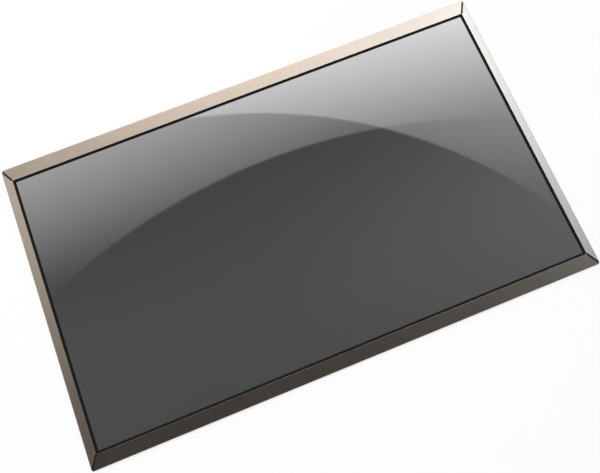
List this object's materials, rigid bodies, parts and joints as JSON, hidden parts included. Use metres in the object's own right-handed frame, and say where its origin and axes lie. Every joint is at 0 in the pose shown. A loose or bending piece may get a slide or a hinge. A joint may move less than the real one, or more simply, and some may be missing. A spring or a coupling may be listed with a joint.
{
  "type": "laptop screen panel",
  "caption": "Flat display module for a laptop: a glossy dark screen in a narrow bevelled metal frame with mitred corners, with its backlight, board and cable socket behind.",
  "frame": {"origin": "on the face the panel rests on, under the middle of its outline", "axes": "+X to the right along the screen, +Y to the drive edge at the screen's top, +Z out of the screen"},
  "size_m": [0.3612, 0.2178, 0.0053],
  "materials": {
    "bezel_metal": "satin, fine grain, warm grey-beige",
    "gasket_black": "matt foam",
    "screen_face": "glossy dark polarizer film",
    "cell_glass": "clear sheet glass",
    "polarizer_film": "smoke-grey film",
    "black_tape": "matt tape",
    "frame_plastic": "fine spark-eroded black",
    "diffuser_film": "milky film",
    "prism_film": "clear film with fine ridges",
    "guide_acrylic": "clear acrylic with printed dots",
    "reflector_white": "white film",
    "flex_film": "amber flex circuit",
    "led_resin": "white resin with a yellow window",
    "chip_resin": "moulded black resin",
    "board_green": "green solder mask",
    "inductor_ferrite": "grey ferrite",
    "capacitor_ceramic": "brown ceramic with tinned ends",
    "socket_resin": "ivory resin",
    "contact_metal": "gold flash",
    "screw_steel": "zinc plate",
    "clear_film": "clear polyester film",
    "cover_metal": "rolled sheet, satin",
    "insert_brass": "turned brass"
  },
  "bodies": {
    "root": {"front_bezel": "bezel_metal", "bezel_gasket": "gasket_black", "front_polarizer": "screen_face", "colour_filter_glass": "cell_glass", "array_glass": "cell_glass", "rear_polarizer": "polarizer_film", "mounting_tape": "black_tape", "mould_frame": "frame_plastic", "upper_diffuser": "diffuser_film", "upper_prism_sheet": "prism_film", "lower_prism_sheet": "prism_film", "lower_diffuser": "diffuser_film", "light_guide": "guide_acrylic", "reflector_sheet": "reflector_white", "led_strip": "flex_film", "led_packages": "led_resin", "driver_chips": "chip_resin", "driver_films": "flex_film", "control_board": "board_green", "timing_chip": "chip_resin", "power_chip": "chip_resin", "power_inductor": "inductor_ferrite", "capacitors": "capacitor_ceramic", "display_connector": "socket_resin", "display_contacts": "contact_metal", "led_connector": "socket_resin", "board_screws": "screw_steel", "board_film": "clear_film", "back_cover": "cover_metal", "cover_screws": "screw_steel", "mount_inserts": "insert_brass"}
  },
  "joints": []
}
